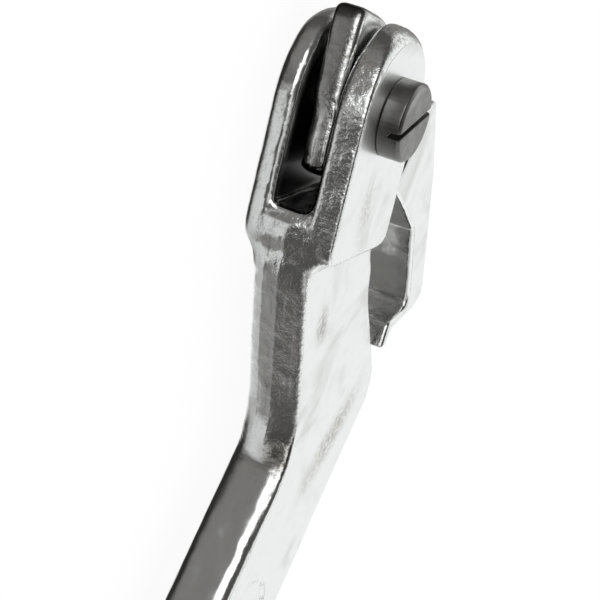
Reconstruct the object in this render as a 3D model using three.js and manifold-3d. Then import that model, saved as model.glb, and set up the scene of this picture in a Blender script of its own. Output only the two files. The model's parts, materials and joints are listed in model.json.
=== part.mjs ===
// Hydrant wrench: a drop-forged lever with a five-sided socket eye at one end and, at the other,
// a cranked fork that carries a swinging hook jaw on a slotted shoulder screw.
// Millimetres, +Z up. The wrench lies flat, its bar along X, the pivot axis along Z.
import * as THREE from "three";
import { mergeVertices } from "three/addons/utils/BufferGeometryUtils.js";
import Module from "manifold-3d";

// Driving dimensions
const CRANK = THREE.MathUtils.degToRad(56.6); // turn of the fork's own axes against the bar's

const FORK_RADIUS = 15.1; // half the width of the cheeks' ground faces, and their round end
const FORK_FOOT = -29.3; // where the cheeks step down to the neck, along the fork
const FOOT_CORNER = 4;
const FORK_HALF = 10; // half thickness over both cheeks
const SLOT_LOW = -4.5; // the two walls of the slot that the jaw swings in
const SLOT_HIGH = 3.5;
const SLOT_FLOOR = -20.2;
const SLOT_CORNER = 1.6;
const FORK_ROUND = 4.4; // forged edge radius of the round end, cut short by the ground faces
const FORK_BULGE = 2; // how far the round end stands out past the ground faces
const FORK_SIDE = 15.4; // half the width between the forged sides
const FORK_LOW_ROUND = 2.2; // edge radius of the fork's lower cheek

const BAR_HALF = 6.4; // half thickness of neck and bar
const NECK_LOW_ROUND = 3.2; // edge radius of the neck's lower side; its upper edge is ground sharp
const BAR_ROUND = 4.4; // forged edge radius of the bar, cut short by the ground faces
const BAR_BULGE = 1.2; // how far the bar's sides stand out past its ground faces
const BAR_NEAR = -44.4; // the bar's two long edges, beside the pivot
const BAR_FAR = -75.6;
const BAR_MIDDLE = (BAR_NEAR + BAR_FAR) / 2;
const BEND_START = -62; // where the bar takes over from the bend
const BEND_END = -90; // how far the bend's own outline reaches into the bar
const BEND_HOLLOW = 24; // radius of the bend on its hollow side
const BEND_OUTER = 13;
const FOOT_RUN = 5.4; // length of the hollow curve from cheek down to neck
const FOOT_INSET = 0.8; // how far inside the cheek's foot that curve starts

const EYE_X = -346; // centre of the socket eye, along the bar
const EYE_RADIUS = 32;
const EYE_HALF = FORK_HALF;
const EYE_EDGE = 2;
const EYE_STEPS = 72;
const SKIRT_RUN = 8; // how far the eye's thickness runs out on the bar
const SOCKET_POINT_TO_FLAT = 40;
const SOCKET_CHAMFER = 1.5;

const PANEL_START = -86; // shallow panel on each broad side of the bar
const PANEL_END = -292;
const PANEL_WIDTH = 17;
const PANEL_DEPTH = 0.7;

const TONGUE_LOW = -3.6; // the jaw's two faces inside the slot
const TONGUE_HIGH = 3.1;
const TONGUE_EDGE = 1.5;
const HOOK_HALF = 8; // half thickness of the jaw's hook
const HOOK_EDGE = 0.8;
const SHOULDER_ARC = 26.5; // radius at which the hook clears the fork

const SCREW_SHOULDER = 5; // radii of the pivot screw
const SCREW_THREAD = 4;
const THREAD_CHAMFER = 0.5;
const SCREW_HEAD = 8;
const HEAD_HEIGHT = 4.8;
const HEAD_CHAMFER = 0.6;
const DRIVER_SLOT_WIDTH = 1.2;
const DRIVER_SLOT_DEPTH = 2.8;
const DRIVER_SLOT_TURN = THREE.MathUtils.degToRad(14.7); // against the fork's cross direction
const RUNNING_GAP = 0.06;
const SEAT_GAP = 0.05;

const ROUND_STEPS = 48;
const OVERCUT = 1; // how far a cutter runs past the face that it opens
const SINK = 0.1; // how far a joined stretch is sunk below the face that it meets
const SLAB = 1000; // wider than the whole wrench

const wasm = await Module();
wasm.setup();

// Solids and geometries

function toSolid(geometry) {
  const bare = geometry.clone();
  bare.deleteAttribute("normal");
  bare.deleteAttribute("uv");
  const merged = mergeVertices(bare, 1e-4);
  return new wasm.Manifold(
    new wasm.Mesh({
      numProp: 3,
      vertProperties: new Float32Array(merged.attributes.position.array),
      triVerts: new Uint32Array(merged.index.array),
    }),
  );
}

function toGeometry(solid) {
  const mesh = solid.getMesh();
  const indexed = new THREE.BufferGeometry();
  indexed.setAttribute("position", new THREE.BufferAttribute(mesh.vertProperties, 3));
  indexed.setIndex(new THREE.BufferAttribute(mesh.triVerts, 1));
  const geometry = indexed.toNonIndexed();
  geometry.computeVertexNormals();
  return geometry;
}

// A point given across and along the fork, in the wrench's own plane.
function onFork(across, along) {
  const x = across * Math.cos(CRANK) + along * Math.sin(CRANK);
  const y = along * Math.cos(CRANK) - across * Math.sin(CRANK);
  return new THREE.Vector2(x, y);
}

// A closed outline through corners {at, radius}, each corner rounded.
function roundedOutline(corners) {
  const shape = new THREE.Shape();
  corners.forEach((corner, i) => {
    const before = corners[(i + corners.length - 1) % corners.length].at;
    const after = corners[(i + 1) % corners.length].at;
    const toBefore = before.clone().sub(corner.at);
    const toAfter = after.clone().sub(corner.at);
    const bend = Math.abs(toBefore.angleTo(toAfter));
    const reach = Math.min(
      corner.radius / Math.tan(bend / 2),
      toBefore.length() * 0.48,
      toAfter.length() * 0.48,
    );
    const start = corner.at.clone().add(toBefore.setLength(reach));
    const end = corner.at.clone().add(toAfter.setLength(reach));
    if (i === 0) shape.moveTo(start.x, start.y);
    else shape.lineTo(start.x, start.y);
    if (reach > 0) shape.quadraticCurveTo(corner.at.x, corner.at.y, end.x, end.y);
  });
  shape.closePath();
  return shape;
}

const corner = (at, radius = 0) => ({ at, radius });

// An outline extruded from low to high along Z, its edges rounded.
function plate(shape, low, high, edge) {
  const geometry = new THREE.ExtrudeGeometry(shape, {
    depth: high - low - 2 * edge,
    bevelEnabled: edge > 0,
    bevelThickness: edge,
    bevelSize: edge,
    bevelOffset: -edge,
    bevelSegments: 4,
    curveSegments: 10,
  });
  geometry.translate(0, 0, low + edge);
  return toSolid(geometry);
}

// A forging of an outline: edges of a large radius that stand out by bulge past the outline, and
// both broad faces ground flat at half the thickness.
function groundForging(shape, half, round, bulge) {
  const rise = Math.sqrt(round * round - (round - bulge) ** 2);
  const rough = half + round - rise;
  const geometry = new THREE.ExtrudeGeometry(shape, {
    depth: 2 * (rough - round),
    bevelThickness: round,
    bevelSize: round,
    bevelOffset: bulge - round,
    bevelSegments: 8,
    curveSegments: 10,
  });
  geometry.translate(0, 0, round - rough);
  const slab = toSolid(new THREE.BoxGeometry(SLAB, SLAB, 2 * half));
  return toSolid(geometry).intersect(slab);
}

// A profile of [radius, height] pairs turned about the Z axis, given from the top downwards.
function turned(profile, steps = ROUND_STEPS) {
  const points = profile.map(([radius, height]) => new THREE.Vector2(radius, height));
  const geometry = new THREE.LatheGeometry(points.reverse(), steps);
  geometry.rotateX(Math.PI / 2);
  return toSolid(geometry);
}

function rod(radius, low, high) {
  return turned([[0, high], [radius, high], [radius, low], [0, low]]);
}

// The handle forging

// Straight sides, a round or longer end about the pivot, and a foot with small corners.
function cheekOutline(halfWidth, end) {
  const shape = new THREE.Shape();
  const steps = 32;
  for (let i = 0; i <= steps; i += 1) {
    const turn = (Math.PI * i) / steps;
    const p = onFork(halfWidth * Math.cos(turn), end * Math.sin(turn));
    if (i === 0) shape.moveTo(p.x, p.y);
    else shape.lineTo(p.x, p.y);
  }
  for (const side of [-1, 1]) {
    const edge = side * halfWidth;
    const down = onFork(edge, FORK_FOOT + FOOT_CORNER);
    const tip = onFork(edge, FORK_FOOT);
    const level = onFork(edge - side * FOOT_CORNER, FORK_FOOT);
    const [start, finish] = side < 0 ? [down, level] : [level, down];
    shape.lineTo(start.x, start.y);
    shape.quadraticCurveTo(tip.x, tip.y, finish.x, finish.y);
  }
  shape.closePath();
  return shape;
}

// The neck leans back from the fork and bends into the bar; its jaw side is a shallow hollow seat.
function neckOutline() {
  return roundedOutline([
    corner(onFork(-13.4, -18)),
    corner(onFork(-14.8, -33), 14),
    corner(onFork(3.8, -74.8), BEND_HOLLOW),
    corner(new THREE.Vector2(BEND_END, BAR_NEAR)),
    corner(new THREE.Vector2(BEND_END, BAR_FAR)),
    corner(onFork(44.6, -69.3), 12),
    corner(onFork(25.2, -44.6), 30),
    corner(onFork(13.4, -18)),
  ]);
}

function barOutline() {
  return roundedOutline([
    corner(new THREE.Vector2(BEND_START, BAR_NEAR)),
    corner(new THREE.Vector2(EYE_X, BAR_NEAR)),
    corner(new THREE.Vector2(EYE_X, BAR_FAR)),
    corner(new THREE.Vector2(BEND_START, BAR_FAR), BEND_OUTER),
  ]);
}

// A section given along the fork and up, extruded across the whole fork.
function acrossFork(section) {
  const width = 4 * FORK_SIDE;
  const geometry = new THREE.ExtrudeGeometry(section, {
    depth: width,
    bevelEnabled: false,
    curveSegments: 8,
  });
  geometry.translate(0, 0, -width / 2);
  const along = onFork(0, 1);
  const across = onFork(1, 0);
  const axes = new THREE.Matrix4().makeBasis(
    new THREE.Vector3(along.x, along.y, 0),
    new THREE.Vector3(0, 0, 1),
    new THREE.Vector3(across.x, across.y, 0),
  );
  geometry.applyMatrix4(axes);
  return toSolid(geometry);
}

// Hollow curve that joins the broad face of the cheeks to the thinner neck.
function footFillet() {
  const high = FORK_HALF - FOOT_INSET;
  const low = BAR_HALF - SINK;
  const top = FORK_FOOT + FOOT_INSET;
  const root = top + FOOT_CORNER / 2;
  const knee = top - FOOT_RUN / 4;
  const end = top - FOOT_RUN;
  const side = new THREE.Shape();
  side.moveTo(root, -high);
  side.lineTo(root, high);
  side.lineTo(top, high);
  side.quadraticCurveTo(knee, low, end, low);
  side.lineTo(end, -low);
  side.quadraticCurveTo(knee, -low, top, -high);
  side.closePath();
  const tall = plate(neckOutline(), -FORK_HALF, FORK_HALF, 0);
  return acrossFork(side).intersect(tall);
}

// Rounded-bottom slot between the cheeks, cut across the fork.
function slotCutter() {
  const top = 2 * FORK_RADIUS;
  const r = SLOT_CORNER;
  const section = new THREE.Shape();
  section.moveTo(top, SLOT_LOW);
  section.lineTo(top, SLOT_HIGH);
  section.lineTo(SLOT_FLOOR + r, SLOT_HIGH);
  section.quadraticCurveTo(SLOT_FLOOR, SLOT_HIGH, SLOT_FLOOR, SLOT_HIGH - r);
  section.lineTo(SLOT_FLOOR, SLOT_LOW + r);
  section.quadraticCurveTo(SLOT_FLOOR, SLOT_LOW, SLOT_FLOOR + r, SLOT_LOW);
  section.closePath();
  return acrossFork(section);
}

// The round end bulges between the ground faces; the sides are nearly straight.
function fork() {
  const rounded = groundForging(
    cheekOutline(FORK_RADIUS, FORK_RADIUS),
    FORK_HALF,
    FORK_ROUND,
    FORK_BULGE,
  );
  const sides = plate(
    cheekOutline(FORK_SIDE, FORK_RADIUS + FORK_BULGE),
    -FORK_HALF,
    FORK_HALF + FORK_LOW_ROUND,
    FORK_LOW_ROUND,
  );
  return rounded.intersect(sides);
}

// Ring of the eye with a skirt that runs out on the bar only.
function eye() {
  const onBar = [EYE_X, BAR_MIDDLE, 0];
  const inset = EYE_EDGE * 0.3; // the middle of the rounded edge
  const disc = turned([
    [0, EYE_HALF],
    [EYE_RADIUS - EYE_EDGE, EYE_HALF],
    [EYE_RADIUS - inset, EYE_HALF - inset],
    [EYE_RADIUS, EYE_HALF - EYE_EDGE],
    [EYE_RADIUS, EYE_EDGE - EYE_HALF],
    [EYE_RADIUS - inset, inset - EYE_HALF],
    [EYE_RADIUS - EYE_EDGE, -EYE_HALF],
    [0, -EYE_HALF],
  ], EYE_STEPS).translate(onBar);
  const knee = EYE_RADIUS + SKIRT_RUN / 4;
  const kneeHalf = BAR_HALF + SKIRT_RUN / 16;
  const reach = EYE_RADIUS + SKIRT_RUN;
  const skirt = turned([
    [0, EYE_HALF - EYE_EDGE],
    [EYE_RADIUS, EYE_HALF - EYE_EDGE],
    [knee, kneeHalf],
    [reach, BAR_HALF - SINK],
    [reach, SINK - BAR_HALF],
    [knee, -kneeHalf],
    [EYE_RADIUS, EYE_EDGE - EYE_HALF],
    [0, EYE_EDGE - EYE_HALF],
  ], EYE_STEPS).translate(onBar);
  const tall = groundForging(barOutline(), EYE_HALF, BAR_ROUND, BAR_BULGE);
  return disc.add(skirt.intersect(tall));
}

// Five-sided socket, one point towards the free end, with a lead-in at both faces.
function socketCutter() {
  const tipRadius = SOCKET_POINT_TO_FLAT / (1 + Math.cos(Math.PI / 5));
  const pentagon = (radius, low, high, topRadius = radius) => {
    const geometry = new THREE.CylinderGeometry(topRadius, radius, high - low, 5);
    geometry.rotateX(Math.PI / 2);
    geometry.rotateZ(-Math.PI / 2);
    geometry.translate(EYE_X, BAR_MIDDLE, (low + high) / 2);
    return toSolid(geometry);
  };
  const leadIn = SOCKET_CHAMFER + OVERCUT;
  const wide = tipRadius + leadIn;
  const half = EYE_HALF + OVERCUT;
  return pentagon(tipRadius, -half, half)
    .add(pentagon(tipRadius, half - leadIn, half, wide))
    .add(pentagon(wide, -half, leadIn - half, tipRadius));
}

function panelCutter(side) {
  const half = PANEL_WIDTH / 2;
  const shape = new THREE.Shape();
  shape.absarc(PANEL_START - half, BAR_MIDDLE, half, -Math.PI / 2, Math.PI / 2, false);
  shape.absarc(PANEL_END + half, BAR_MIDDLE, half, Math.PI / 2, (3 * Math.PI) / 2, false);
  shape.closePath();
  const floor = BAR_HALF - PANEL_DEPTH;
  const over = BAR_HALF + OVERCUT;
  return side > 0 ? plate(shape, floor, over, 0) : plate(shape, -over, -floor, 0);
}

function handleSolid() {
  const neck = plate(neckOutline(), -BAR_HALF, BAR_HALF + NECK_LOW_ROUND, NECK_LOW_ROUND)
    .intersect(toSolid(new THREE.BoxGeometry(SLAB, SLAB, 2 * BAR_HALF)));
  const bar = groundForging(barOutline(), BAR_HALF, BAR_ROUND, BAR_BULGE);
  const shoulderBore = rod(SCREW_SHOULDER + RUNNING_GAP, SLOT_HIGH - OVERCUT, FORK_HALF + OVERCUT);
  const threadBore = rod(SCREW_THREAD + RUNNING_GAP, -FORK_HALF - OVERCUT, FORK_HALF);
  return neck
    .add(bar)
    .add(footFillet())
    .add(fork())
    .add(eye())
    .subtract(slotCutter())
    .subtract(shoulderBore)
    .subtract(threadBore)
    .subtract(socketCutter())
    .subtract(panelCutter(1))
    .subtract(panelCutter(-1));
}

// The hook jaw

// Thin tongue in the slot: a rounded heel below the pivot and a raised thumb end above it.
function tongueOutline() {
  return roundedOutline([
    corner(onFork(-10.4, 20.6), 2.6),
    corner(onFork(3.5, 17.2), 24),
    corner(onFork(31.5, -1.4), 6),
    corner(onFork(33, -14)),
    corner(onFork(20.5, -17.4)),
    corner(onFork(6, -14.6), 8),
    corner(onFork(-12.6, -14.6), 10),
  ]);
}

// Thick hook: back, lip that closes on the neck, inner wall, and a shoulder arc about the pivot.
function hookOutline() {
  const corners = [
    corner(onFork(32.2, -0.6), 1.6),
    corner(onFork(43.6, -18.2), 24),
    corner(onFork(59, -49.6), 5),
    corner(onFork(54, -52.9), 3),
    corner(onFork(42.2, -55.4), 3),
    corner(onFork(41.4, -58.8), 1.4),
    corner(onFork(39.2, -59.2)),
    corner(onFork(40, -53.4), 2),
    corner(onFork(50.6, -51.4), 3),
    corner(onFork(39.4, -30.9), 3),
    corner(onFork(31.4, -25.6), 8),
    corner(onFork(19.2, -18.4)),
  ];
  const arcFrom = THREE.MathUtils.degToRad(-40);
  const arcTo = THREE.MathUtils.degToRad(-6);
  const arcSteps = 9;
  for (let i = 0; i <= arcSteps; i += 1) {
    const turn = arcFrom + ((arcTo - arcFrom) * i) / arcSteps;
    const at = onFork(SHOULDER_ARC * Math.cos(turn), SHOULDER_ARC * Math.sin(turn));
    corners.push(corner(at));
  }
  return roundedOutline(corners);
}

function jawSolid() {
  const tongue = plate(tongueOutline(), TONGUE_LOW, TONGUE_HIGH, TONGUE_EDGE);
  const hook = plate(hookOutline(), -HOOK_HALF, HOOK_HALF, HOOK_EDGE);
  const bore = rod(SCREW_SHOULDER + RUNNING_GAP, -FORK_HALF, FORK_HALF);
  return tongue.add(hook).subtract(bore);
}

// The pivot screw: slotted head on the upper cheek, plain shoulder through cheek and jaw down to
// the lower cheek, and a threaded end in the lower cheek, cut flush.
function screwSolid() {
  const seat = FORK_HALF + SEAT_GAP;
  const top = seat + HEAD_HEIGHT;
  const shoulderEnd = SLOT_LOW + SEAT_GAP;
  const body = turned([
    [0, top],
    [SCREW_HEAD - HEAD_CHAMFER, top],
    [SCREW_HEAD, top - HEAD_CHAMFER],
    [SCREW_HEAD, seat],
    [SCREW_SHOULDER, seat],
    [SCREW_SHOULDER, shoulderEnd],
    [SCREW_THREAD, shoulderEnd],
    [SCREW_THREAD, THREAD_CHAMFER - FORK_HALF],
    [SCREW_THREAD - THREAD_CHAMFER, -FORK_HALF],
    [0, -FORK_HALF],
  ]);
  const blade = new THREE.BoxGeometry(3 * SCREW_HEAD, DRIVER_SLOT_WIDTH, 2 * DRIVER_SLOT_DEPTH);
  blade.rotateZ(DRIVER_SLOT_TURN - CRANK);
  blade.translate(0, 0, top);
  return body.subtract(toSolid(blade));
}

// Assembly

const plated = new THREE.MeshStandardMaterial({ color: 0xc9cbca, roughness: 0.28, metalness: 1 });
const platedJaw = new THREE.MeshStandardMaterial({ color: 0xc4c6c5, roughness: 0.32, metalness: 1 });
const darkSteel = new THREE.MeshStandardMaterial({ color: 0x6a6967, roughness: 0.42, metalness: 1 });

function named(name, solid, material) {
  const mesh = new THREE.Mesh(toGeometry(solid), material);
  mesh.name = name;
  return mesh;
}

const wrench = new THREE.Group();
wrench.add(named("handle", handleSolid(), plated));
wrench.add(named("hook_jaw", jawSolid(), platedJaw));
wrench.add(named("pivot_screw", screwSolid(), darkSteel));

// The origin sits under the middle of the wrench's box, on the surface it lies on.
const box = new THREE.Box3().setFromObject(wrench);
const middle = box.getCenter(new THREE.Vector3());
wrench.position.set(-middle.x, -middle.y, -box.min.z);

export default wrench;
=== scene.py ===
import json

import bpy
import numpy as np
from mathutils import Matrix, Vector


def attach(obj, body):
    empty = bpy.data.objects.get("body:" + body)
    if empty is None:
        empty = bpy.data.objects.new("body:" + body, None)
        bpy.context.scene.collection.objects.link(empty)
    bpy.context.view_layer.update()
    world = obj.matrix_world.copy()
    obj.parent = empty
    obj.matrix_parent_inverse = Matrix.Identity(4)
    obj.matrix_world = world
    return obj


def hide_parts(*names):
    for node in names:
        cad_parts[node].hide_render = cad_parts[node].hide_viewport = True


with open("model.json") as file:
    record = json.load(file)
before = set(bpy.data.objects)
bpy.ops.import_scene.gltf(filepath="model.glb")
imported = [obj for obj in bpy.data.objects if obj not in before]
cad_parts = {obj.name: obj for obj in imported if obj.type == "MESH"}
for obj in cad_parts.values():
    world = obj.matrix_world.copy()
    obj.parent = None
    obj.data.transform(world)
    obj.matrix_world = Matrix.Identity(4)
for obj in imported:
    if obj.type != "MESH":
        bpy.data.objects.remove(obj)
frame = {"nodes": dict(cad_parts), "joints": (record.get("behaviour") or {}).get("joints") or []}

bpy.ops.object.select_all(action="DESELECT")
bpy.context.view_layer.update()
scene = bpy.context.scene
scene.view_settings.view_transform = "Standard"

MM = 0.001


# ---------------------------------------------------------------------------------------------
# Camera
# A long lens off the fork's end, a little above the wrench as it lies, rolled so that the fork
# stands upright and the bar runs out at the lower left.
# ---------------------------------------------------------------------------------------------
pivot = Vector(frame["joints"][0]["pos_m"])
STAND_OFF = Vector((-129.5, 333.9, 125.6)) * MM  # from the pivot screw to the lens
SIGHT_LINE = Vector((0.2427, -0.9154, -0.3210))
LEVEL_LINE = Vector((0.4094, -0.2033, 0.8894))  # the direction that is horizontal in the frame
SENSOR_WIDTH = 36
FOCAL_LENGTH = 115.6
NEAREST = 10 * MM

camera_data = bpy.data.cameras.new("camera")
camera_data.sensor_width = SENSOR_WIDTH
camera_data.lens = FOCAL_LENGTH
camera_data.clip_start = NEAREST
camera = bpy.data.objects.new("camera", camera_data)
scene.collection.objects.link(camera)
back = -SIGHT_LINE.normalized()
rise = back.cross(LEVEL_LINE).normalized()
level = rise.cross(back)
camera.rotation_mode = "QUATERNION"
camera.rotation_quaternion = Matrix((level, rise, back)).transposed().to_quaternion()
camera.location = pivot + STAND_OFF
scene.camera = camera


# ---------------------------------------------------------------------------------------------
# Studio
# A plain pale floor under the wrench, and one large white surround with grey and dark panels.
# Plating shows nothing but what it mirrors, so the panels are what gives it its tones.
# ---------------------------------------------------------------------------------------------
class Shade:
    """A socket of a node tree. Operators on it add Math nodes."""

    def __init__(self, tree, socket=None):
        self.tree = tree
        self.socket = socket

    def node(self, kind, settings=None, inputs=None, output=0):
        """A new node: its settings first, then the values or links of its sockets."""
        made = self.tree.nodes.new("ShaderNode" + kind)
        for name, value in (settings or {}).items():
            if name == "stops":
                ramp = made.color_ramp.elements
                while len(ramp) < len(value):
                    ramp.new(1)
                for stop, (place, tone) in zip(ramp, value):
                    stop.position = place
                    stop.color = (*tone, 1)
            else:
                setattr(made, name, value)
        for name, value in (inputs or {}).items():
            if isinstance(value, Shade):
                self.tree.links.new(value.socket, made.inputs[name])
            else:
                made.inputs[name].default_value = value
        return Shade(self.tree, made.outputs[output] if made.outputs else None)

    def math(self, operation, *others):
        terms = dict(enumerate((self, *others)))
        return self.node("Math", {"operation": operation}, terms)

    def __add__(self, other):
        return self.math("ADD", other)

    def __sub__(self, other):
        return self.math("SUBTRACT", other)

    def __mul__(self, other):
        return self.math("MULTIPLY", other)

    def __truediv__(self, other):
        return self.math("DIVIDE", other)

    def __pow__(self, other):
        return self.math("POWER", other)

    def __rsub__(self, other):
        return self.node("Math", {"operation": "SUBTRACT"}, {0: other, 1: self})

    __radd__ = __add__
    __rmul__ = __mul__

    def __abs__(self):
        return self.math("ABSOLUTE")

    def dot(self, direction):
        return self.node("VectorMath", {"operation": "DOT_PRODUCT"}, {0: self, 1: direction}, "Value")

    def step(self, low, high):
        """0 below low, 1 above high, smooth between; low may be the larger."""
        flip = low > high
        ends = {1: min(low, high), 2: max(low, high), 3: float(flip), 4: float(not flip)}
        return self.node("MapRange", {"interpolation_type": "SMOOTHSTEP"}, {0: self, **ends})

    def mixed(self, first, second):
        """Colour first where this is 0, second where it is 1."""
        tones = [t if isinstance(t, Shade) else (*t, 1) for t in (first, second)]
        return self.node("Mix", {"data_type": "RGBA"}, {0: self, 6: tones[0], 7: tones[1]}, 2)

    def grain(self, scale, detail=2.0, rough=0.5, warp=0.0):
        """Cloud noise around 0.5 on this vector."""
        sockets = {"Vector": self, "Scale": scale, "Detail": detail}
        return self.node("TexNoise", None, {**sockets, "Roughness": rough, "Distortion": warp})


def spot(sight, toward, inner, outer):
    """A round soft panel: 1 within inner degrees of a direction, 0 outside outer degrees."""
    near = np.cos(np.radians(inner))
    far = np.cos(np.radians(outer))
    return sight.dot(Vector(toward).normalized()).step(far, near)


FLOOR_SIZE = 12
FLOOR_DROP = 0.2 * MM  # keeps the floor just off the faces that rest on it
PAPER_GREY = 0.16  # what is left of the paper's own shade, to show a faint shadow
PAPER_GLOW = 0.92
bpy.ops.mesh.primitive_plane_add(size=FLOOR_SIZE, location=(0, 0, -FLOOR_DROP))
floor = bpy.context.object
floor.name = "floor"
floor.visible_glossy = False
paper = bpy.data.materials.new("paper")
paper.use_nodes = True
sheet = paper.node_tree.nodes["Principled BSDF"]
sheet.inputs["Base Color"].default_value = (PAPER_GREY, PAPER_GREY, PAPER_GREY, 1)
sheet.inputs["Roughness"].default_value = 0.9
sheet.inputs["Specular IOR Level"].default_value = 0.0
sheet.inputs["Emission Color"].default_value = (1, 1, 1, 1)
sheet.inputs["Emission Strength"].default_value = PAPER_GLOW
floor.data.materials.append(paper)

world = bpy.data.worlds.new("surround")
world.use_nodes = True
world.node_tree.nodes.clear()
scene.world = world
studio = Shade(world.node_tree)
sight = studio.node("TexCoord", output="Generated")
height = sight.dot((0, 0, 1))

# white paper behind the wrench, falling off to a dim room in front of it, which is a little
# lighter low down where the bar's near side looks
PAPER_SIDE = Vector((0.10, -0.95, 0.30)).normalized()
ROOM_TONE = 0.075
PAPER_TONE = 0.89
LOW_WALL_TONE = 0.12
backdrop = sight.dot(PAPER_SIDE).step(-0.05, 0.55)
off_paper = 1 - backdrop
low_wall = spot(sight, (0.30, 0.90, -0.32), 12, 52)
glow = ROOM_TONE + PAPER_TONE * backdrop + LOW_WALL_TONE * low_wall

# dark under the wrench, beyond the top of the fork and over its upper cheek
UNDERSIDE_SHADE = 0.65
PATCH_SHADE = 0.75
glow = glow * (1 - UNDERSIDE_SHADE * height.step(-0.60, -0.96))
glow = glow * (1 - PATCH_SHADE * spot(sight, (0.745, -0.584, -0.321), 16, 38))
glow = glow * (1 - PATCH_SHADE * spot(sight, (-0.43, 0.10, 0.90), 14, 30))

# a soft panel high beyond the socket end
HIGH_PANEL_TONE = 0.45
panel = spot(sight, (-0.88, -0.25, 0.42), 20, 48) * height.step(0.02, 0.30)
glow = glow + HIGH_PANEL_TONE * panel * off_paper

# a low pale board along the side where the neck and the flats of the fork look; its upper edge
# sinks towards the neck's side, where a dim skirting takes over
NECK_SIDE = (-0.985, -0.17, 0)
FORK_SIDE = (-0.755, 0.656, 0)
BOARD_SIDE = (-0.798, -0.602, 0)
BOARD_TONE = 0.42
BOARD_EXTRA = 0.20  # on the fork's side
SKIRTING_TONE = 0.16
brim = height + 0.5 * sight.dot(NECK_SIDE)
board = sight.dot(BOARD_SIDE).step(-0.26, 0.17) * brim.step(-0.02, -0.14)
board = board * height.step(-0.97, -0.80) * off_paper
board = board * (BOARD_TONE + BOARD_EXTRA * sight.dot(FORK_SIDE).step(0.55, 0.90))
skirting = sight.dot(NECK_SIDE).step(0.70, 0.90) * height.step(-0.27, -0.37)
glow = glow + board.math("MAXIMUM", SKIRTING_TONE * skirting * off_paper)

# lamps low in front: the first draws the streak along the bar, the second the lights on the
# fork's round end, the weak third the light on the tongue's upper edge
LAMP_TONE = 1.5
THIRD_LAMP = 0.4
lamp = spot(sight, (0.12, 0.95, 0.18), 13, 20)
lamp = lamp.math("MAXIMUM", spot(sight, (-0.36, 0.90, 0.12), 11, 25))
lamp = lamp.math("MAXIMUM", THIRD_LAMP * spot(sight, (-0.74, 0.58, 0.33), 4, 14))
glow = glow + LAMP_TONE * lamp

# the room's dim parts are a little warm
WARM_TINT = (1.02, 1.0, 0.955)
COOL_TINT = (0.985, 1.0, 1.0)
tint = glow.step(0.1, 0.6).mixed(WARM_TINT, COOL_TINT)
lit = studio.node("VectorMath", {"operation": "SCALE"}, {0: tint, "Scale": glow})
mirrored = studio.node("Background", None, {"Color": lit, "Strength": 1.0})
plain = studio.node("Background", None, {"Color": (1, 1, 1, 1), "Strength": 1.0})
seen = studio.node("LightPath", output="Is Camera Ray")
# the surround is seen in the plating only, and the room itself is plain white
shown = studio.node("MixShader", None, {0: seen, 1: mirrored, 2: plain})
studio.node("OutputWorld", None, {"Surface": shown})


# ---------------------------------------------------------------------------------------------
# Handle
# One drop forging of steel: socket eye, flat bar, neck and slotted fork. The broad faces and the
# cheeks are ground flat, the rest keeps its forged skin, and all of it is bright plated.
# ---------------------------------------------------------------------------------------------
def take_shape(node, name):
    """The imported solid's shape as a new piece, its loose triangles merged."""
    piece = bpy.data.objects.new(name, frame["nodes"][node].data.copy())
    scene.collection.objects.link(piece)
    piece.data.materials.clear()
    bpy.ops.object.select_all(action="DESELECT")
    piece.select_set(True)
    bpy.context.view_layer.objects.active = piece
    bpy.ops.object.mode_set(mode="EDIT")
    bpy.ops.mesh.select_all(action="SELECT")
    bpy.ops.mesh.remove_doubles(threshold=0.001 * MM)
    bpy.ops.object.mode_set(mode="OBJECT")
    return piece


def modify(piece, kind, **settings):
    """Adds a modifier and applies it."""
    modifier = piece.modifiers.new(kind, kind)
    for name, value in settings.items():
        setattr(modifier, name, value)
    bpy.context.view_layer.objects.active = piece
    bpy.ops.object.modifier_apply(modifier=modifier.name)


def hand_over(piece, node, body, material):
    """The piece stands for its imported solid, rides on its body and takes its finish."""
    piece.data.materials.append(material)
    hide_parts(node)
    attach(piece, body)


def principled(name):
    """A new material and the two things that its sections use: its maths and its shader."""
    material = bpy.data.materials.new(name)
    material.use_nodes = True
    return material, Shade(material.node_tree), material.node_tree.nodes["Principled BSDF"]


def feed(shader, socket, value):
    value.tree.links.new(value.socket, shader.inputs[socket])


# The fork's own axes, in millimetres from the pivot: across it, along it, and up the screw.
CRANK = np.radians(56.6)
TO_FORK = Matrix.Rotation(CRANK, 3, "Z")


def from_pivot(piece):
    """Every point of a piece on the fork's own axes, as three rows, and its normals."""
    count = len(piece.data.vertices)
    place = np.empty(count * 3)
    facing = np.empty(count * 3)
    piece.data.vertices.foreach_get("co", place)
    piece.data.vertices.foreach_get("normal", facing)
    turn = np.array(TO_FORK)
    return turn @ (place.reshape(-1, 3) - pivot).T / MM, turn @ facing.reshape(-1, 3).T


def ease(value, low, high):
    """0 below low, 1 above high, smooth between; low may be the larger."""
    t = np.clip((value - low) / (high - low), 0, 1)
    return t * t * (3 - 2 * t)


def weigh(piece, name, weights):
    """A vertex group that holds these weights, in tenths."""
    group = piece.vertex_groups.new(name=name)
    tenths = np.rint(weights * 10).astype(int)
    for tenth in range(1, 11):
        group.add(np.flatnonzero(tenths == tenth).tolist(), tenth / 10, "REPLACE")
    return name


def soften(piece, iterations, name=None, weights=None):
    """Rounds a piece over, or only the part of it that the weights mark."""
    group = "" if name is None else weigh(piece, name, weights)
    modify(piece, "SMOOTH", factor=0.5, iterations=iterations, vertex_group=group)


def swell_out(piece, depth, name, weights):
    """Moves the marked part of a piece out along its normals, or in where depth is negative."""
    group = weigh(piece, name, weights)
    modify(piece, "DISPLACE", strength=depth, mid_level=0, vertex_group=group)


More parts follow.
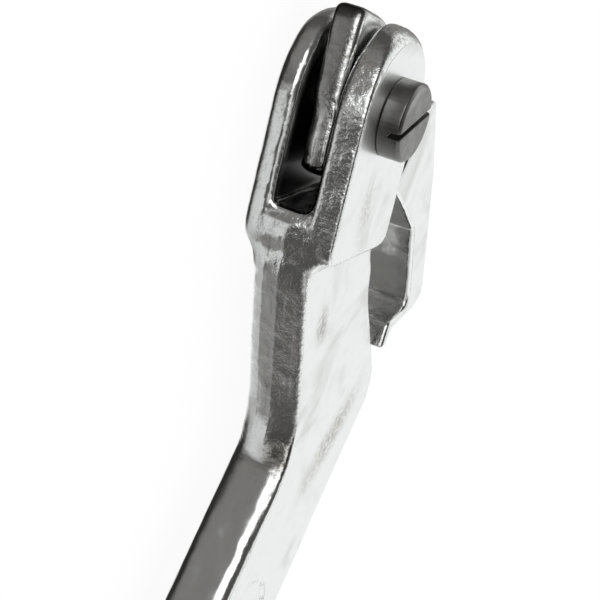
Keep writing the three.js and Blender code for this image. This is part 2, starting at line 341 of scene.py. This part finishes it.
def along_bar(across, along):
    """Millimetres from the pivot towards the fork's end, on the bar's axis."""
    return across * np.cos(CRANK) + along * np.sin(CRANK)


def shade_round(piece):
    """Faces share their normals, so that the forging shows no facets."""
    piece.vertex_groups.clear()
    for face in piece.data.polygons:
        face.use_smooth = True


HANDLE_GRID = 0.42 * MM
HANDLE_KEPT = 0.34  # share of the grid's faces that is kept at the end
handle = take_shape("handle", "forged_handle")
modify(handle, "REMESH", mode="VOXEL", voxel_size=HANDLE_GRID)
soften(handle, 2)

# The step from fork to neck is one soft hollow below the ground face, and the slot's mouth is
# rounded over, on the upper cheek more than on the lower.
(across, along, up), facing = from_pivot(handle)
foot = ease(along, -38, -33) * ease(along, -22, -27) * ease(up, 8.5, 6.5)
soften(handle, 70, "foot", foot)
(across, along, up), facing = from_pivot(handle)
reach = np.hypot(across, np.maximum(along, 0))
mouth = ease(reach, 11.4, 13.2) * ease(along, -25, -21)
upper = mouth * ease(up, 7.4, 5.6) * ease(up, -2, 0)
lower = mouth * ease(up, -8, -6) * ease(up, 0, -2)
soften(handle, 45, "upper_lip", upper)
soften(handle, 16, "lower_lip", lower)

# Neck and bar run into each other without a seam on the forged sides; on the hollow side the
# upper half of the bend is fuller than the lower.
BAR_HALF = 6.4
BEND_SWELL = 1.0 * MM
(across, along, up), facing = from_pivot(handle)
x_run = along_bar(across, along)
near = ease(facing[0], -0.2, -0.6)
swell = ease(x_run, -82, -72) * ease(x_run, -57, -64) * near * ease(up, -BAR_HALF, BAR_HALF)
swell_out(handle, BEND_SWELL, "swell", swell)
bend = ease(x_run, -84, -76) * ease(x_run, -48, -56) * ease(np.abs(up), 6.2, 5.4)
soften(handle, 120, "bend", bend)

# On neck and bar the ground faces meet the forged sides at an edge that is just broken.
(across, along, up), facing = from_pivot(handle)
rim = ease(np.abs(up), 4.9, 5.6) * ease(along, -30, -34) * ease(along_bar(across, along), -300, -290)
soften(handle, 12, "rim", rim)

# Draft: the forged sides lean back from the middle plane, where the two dies met.
DRAFT_DEPTH = 0.55 * MM
FORK_HALF = 10
(across, along, up), facing = from_pivot(handle)
forged = 1 - ease(np.abs(facing[2]), 0.80, 0.95)
slot = ease(np.abs(up + 0.5), 5.2, 4.6) * ease(along, -23, -21)
crown = np.clip(1 - np.abs(up) / FORK_HALF, 0, 1) * forged * ease(along, -80, -72) * (1 - slot)
swell_out(handle, DRAFT_DEPTH, "draft", crown)

# The dies leave the forged skin a little uneven, and the whole piece stays within its solid.
DENT_SPACING = 5 * MM
DENT_DEPTH = 0.22 * MM
HELD_BACK = 0.015 * MM
(across, along, up), facing = from_pivot(handle)
dents = bpy.data.textures.new("forging_dents", "CLOUDS")
dents.noise_scale = DENT_SPACING
dents.noise_depth = 1
skin = 1 - ease(np.abs(facing[2]), 0.90, 0.99)
modify(
    handle,
    "DISPLACE",
    texture=dents,
    texture_coords="LOCAL",
    strength=DENT_DEPTH,
    mid_level=0.8,
    vertex_group=weigh(handle, "skin", skin),
)
modify(handle, "DISPLACE", strength=-HELD_BACK, mid_level=0)
modify(handle, "DECIMATE", ratio=HANDLE_KEPT)
shade_round(handle)
modify(handle, "WEIGHTED_NORMAL", mode="FACE_AREA", weight=60)

IN_MM = (1 / MM, 1 / MM, 1 / MM)


def fork_millimetres(shade):
    """Object coordinates turned into the fork's own axes, in millimetres from the pivot."""
    place = shade.node("TexCoord", output="Object")
    shift = TO_FORK @ pivot / -MM
    turn = {"Vector": place, "Location": shift, "Rotation": (0, 0, CRANK), "Scale": IN_MM}
    return shade.node("Mapping", None, turn)


def smudge(mm, across, along, long_half, wide_half, turn):
    """A soft patch on the ground face, at a place on the fork's axes and turned in degrees."""
    angle = np.radians(turn)
    back_turn = Matrix.Rotation(-angle, 3, "Z")
    shift = back_turn @ Vector((-across, -along, 0))
    moved = mm.node("Mapping", None, {"Vector": mm, "Location": shift, "Rotation": (0, 0, -angle)})
    scale = (1 / wide_half, 1 / long_half, 0)
    patch = mm.node("VectorMath", {"operation": "MULTIPLY"}, {0: moved, 1: scale})
    size = mm.node("VectorMath", {"operation": "LENGTH"}, {0: patch}, "Value")
    return size.step(1.25, 0.1)


CLEAN_PLATING = (0.88, 0.885, 0.88)
# soiled plating; in the crook of the bend it is also the first step of the painted shade
SOILED_AND_SHADED_PLATING = (0.50, 0.48, 0.45)
# painted shade: the near black in the crook of the bend
CROOK_SHADE = (0.12, 0.11, 0.10)
CROOK_PLACE = (4.5, -75.5, 4.5)
GROUND_ROUGHNESS = 0.15
FORGED_ROUGHNESS = 0.15


def plating(name, peel_depth, rough_skin):
    """Bright plating: clear and faintly smeared where ground, orange-peeled where forged."""
    material, shade, shader = principled(name)
    mm = fork_millimetres(shade)
    facing = shade.node("TexCoord", output="Normal")
    forged = abs(facing.dot((0, 0, 1))).step(0.99, 0.93)

    # ground faces: long smears, and three places that hands and the jaw have left marks on
    smear = mm.grain(0.055, 3, 0.6, 0.5).step(0.52, 0.72)
    cloud = mm.grain(0.35, 3, 0.6)
    ragged = mm.grain(0.9, 4, 0.7).step(0.30, 0.62)
    handled = smudge(mm, 0, -45, 6, 3.2, 20) + smudge(mm, 24, -77, 17, 5, -48)
    handled = handled + smudge(mm, -2, -19, 9, 3.5, 6) * 0.6
    face_soil = smear * 0.35 + cloud.step(0.45, 0.8) * 0.10 + handled * ragged * 1.1

    # forged skin: dark mottles, most of them on the upper half, and painted shade in the crook of the
    # bend
    upper = mm.dot((0, 0, 1)).step(-2.0, 1.5)
    skin = forged * rough_skin(mm) * (0.35 + 0.65 * upper)
    pores = mm.grain(1.6, 2, 0.6)
    mottle = skin * (cloud * pores).step(0.25, 0.36)
    distance = {"operation": "DISTANCE"}
    crook = mm.node("VectorMath", distance, {0: mm, 1: CROOK_PLACE}, "Value").step(8.0, 3.5) * forged
    soil_and_shade = ((1 - forged) * face_soil + mottle * 0.75 + crook * 1.6).math("MINIMUM", 2.0)
    tone = soil_and_shade.math("MINIMUM", 1.0).mixed(CLEAN_PLATING, SOILED_AND_SHADED_PLATING)
    tone = (soil_and_shade - 1.0).mixed(tone, CROOK_SHADE)
    shader.inputs["Metallic"].default_value = 1.0
    ground_more = (1 - forged) * (GROUND_ROUGHNESS + smear * 0.08)
    feed(shader, "Roughness", FORGED_ROUGHNESS + ground_more + mottle * 0.16)
    peel = 0.60 * mm.grain(1.1, 2, 0.5) + 0.30 * mm.grain(2.8, 2)
    waves = forged * 1.5 * mm.grain(0.26, 1)
    fine = (1 - forged) * 0.03 * mm.grain(4.0, 2)
    relief = skin * peel + waves + fine
    bump = shade.node("Bump", None, {"Strength": 1.0, "Distance": peel_depth, "Height": relief})
    feed(shader, "Normal", bump)
    return material, shade, shader, mm, tone


def handle_skin(mm):
    """Full orange peel on fork and neck, on the bar only beside the upper ground face."""
    forged_end = mm.dot((-0.55, 0.83, 0)).step(-72.0, -52.0)
    return forged_end.math("MAXIMUM", 0.15 + 0.5 * mm.dot((0, 0, 1)).step(4.2, 5.4))


def jaw_skin(mm):
    """Orange peel on the tongue, less on the hook."""
    return mm.dot((1, 0, 0)).step(26.0, 14.0) * 0.7 + 0.3


# painted shade: the walls and floor of the slot are painted near black, where the slot lies in shade
HANDLE_PEEL = 0.11 * MM
SLOT_SHADE = (0.03, 0.028, 0.026)
SLOT_MIDDLE = -0.5
material, shade, shader, mm, tone = plating("bright_plating", HANDLE_PEEL, handle_skin)
part = {axis: shade.node("SeparateXYZ", None, {0: mm}, axis) for axis in "XYZ"}
reach = (part["X"] ** 2 + part["Y"].math("MAXIMUM", 0.0) ** 2) ** 0.5
inside = abs(part["Z"] - SLOT_MIDDLE).step(4.6, 4.2) * part["Y"].step(-21.5, -20.8)
inside = inside * reach.step(15.2, 12.0)
feed(shader, "Base Color", (inside * 0.96).mixed(tone, SLOT_SHADE))
hand_over(handle, "handle", "lever", material)


# ---------------------------------------------------------------------------------------------
# Hook jaw
# A second, smaller forging: a thin tongue that swings in the slot and a thick hook beyond it.
# Plated like the handle before the two are put together.
# ---------------------------------------------------------------------------------------------
JAW_GRID = 0.3 * MM
hook = take_shape("hook_jaw", "forged_hook_jaw")
modify(hook, "REMESH", mode="VOXEL", voxel_size=JAW_GRID)
soften(hook, 3)

# The tongue's free edges are worn round, most of all on the heel, which has also worn slanting;
# the hook keeps its squarer edges.
HEEL_WEAR = 1.1 * MM
TONGUE_LOW = -3.6
TONGUE_HIGH = 3.1
(across, along, up), facing = from_pivot(hook)
free = ease(np.hypot(across, along), 8, 11) * ease(across, 12, 9) * (1 - 0.7 * ease(along, 12, 16))
soften(hook, 60, "free", free)
heel = free * ease(along, 4, -8)
soften(hook, 70, "heel", heel)
(across, along, up), facing = from_pivot(hook)
slant = np.clip((TONGUE_HIGH - up) / (TONGUE_HIGH - TONGUE_LOW), 0, 1)
worn = ease(across, -6, -9) * ease(along, -13, -10) * ease(along, 4, -3) * slant
swell_out(hook, -HEEL_WEAR, "worn", worn)
shade_round(hook)

# The tongue's rim is painted darker, a painted shade where it sits in the slot, but for its worn heel
# and its upper edge.
JAW_PEEL = 0.09 * MM
TONGUE_RIM_SHADE = (0.20, 0.192, 0.182)
SHOULDER_SHADE = (0.05, 0.048, 0.045)
material, shade, shader, mm, tone = plating("jaw_plating", JAW_PEEL, jaw_skin)
part = {axis: shade.node("SeparateXYZ", None, {0: mm}, axis) for axis in "XYZ"}
rim = part["X"].step(2.0, -3.0) * part["Z"].step(1.9, 0.6)
rim_shade_mask = rim * part["Y"].step(-5.0, 1.0).math("MAXIMUM", part["Z"].step(-0.6, 0.6)) * 0.8
tone = rim_shade_mask.mixed(tone, TONGUE_RIM_SHADE)
# painted shade: the shoulder that runs round the fork is painted near black, like the slot
reach = (part["X"] ** 2 + part["Y"] ** 2) ** 0.5
shoulder = reach.step(27.6, 26.8) * reach.step(20.0, 22.0) * abs(part["Z"]).step(8.0, 7.5)
feed(shader, "Base Color", (shoulder * 0.9).mixed(tone, SHOULDER_SHADE))
hand_over(hook, "hook_jaw", "jaw", material)


# ---------------------------------------------------------------------------------------------
# Pivot screw
# A slotted shoulder screw turned from steel bar and left dark. It clamps on the lower cheek, and
# its shoulder is the pin that the jaw swings on.
# ---------------------------------------------------------------------------------------------
SCREW_GRID = 0.16 * MM
screw = take_shape("pivot_screw", "turned_pivot_screw")
modify(screw, "REMESH", mode="VOXEL", voxel_size=SCREW_GRID)
soften(screw, 2)
shade_round(screw)


BLACKENED_STEEL = (0.13, 0.127, 0.121)
LIGHTER_STEEL = (0.34, 0.335, 0.325)
TURNING_DEPTH = 0.02 * MM


def dark_steel():
    """Turned steel, blackened, patchy, lighter towards one side of the head and darker towards
    another.
    """
    material, shade, shader = principled("dark_turned_steel")
    place = shade.node("TexCoord", output="Object")
    offset = pivot / -MM
    mm = shade.node("Mapping", None, {"Vector": place, "Scale": IN_MM, "Location": offset})
    cloud = mm.grain(0.5, 4, 0.6)
    lighter_side = mm.dot((0.31, 0.95, 0)).step(4.5, 7.8)
    darker_side = mm.dot((-0.77, 0.64, 0)).step(4.0, 7.6)
    lighter_mix = (cloud.step(0.3, 0.7) * 0.5 + lighter_side * 0.8).math("MINIMUM", 1.0)
    tone = (lighter_mix * (1 - darker_side * 0.8)).mixed(BLACKENED_STEEL, LIGHTER_STEEL)
    feed(shader, "Base Color", tone)
    shader.inputs["Metallic"].default_value = 1.0
    feed(shader, "Roughness", 0.24 + cloud * 0.14)
    rings = shade.node(
        "TexWave",
        {"wave_type": "RINGS", "rings_direction": "Z"},
        {"Vector": mm, "Scale": 1.4, "Distortion": 0.4, "Detail": 1.0},
        1,
    )
    relief = rings + mm.grain(3.0, 2) * 0.8
    bump = shade.node("Bump", None, {"Strength": 1.0, "Distance": TURNING_DEPTH, "Height": relief})
    feed(shader, "Normal", bump)
    return material


hand_over(screw, "pivot_screw", "lever", dark_steel())
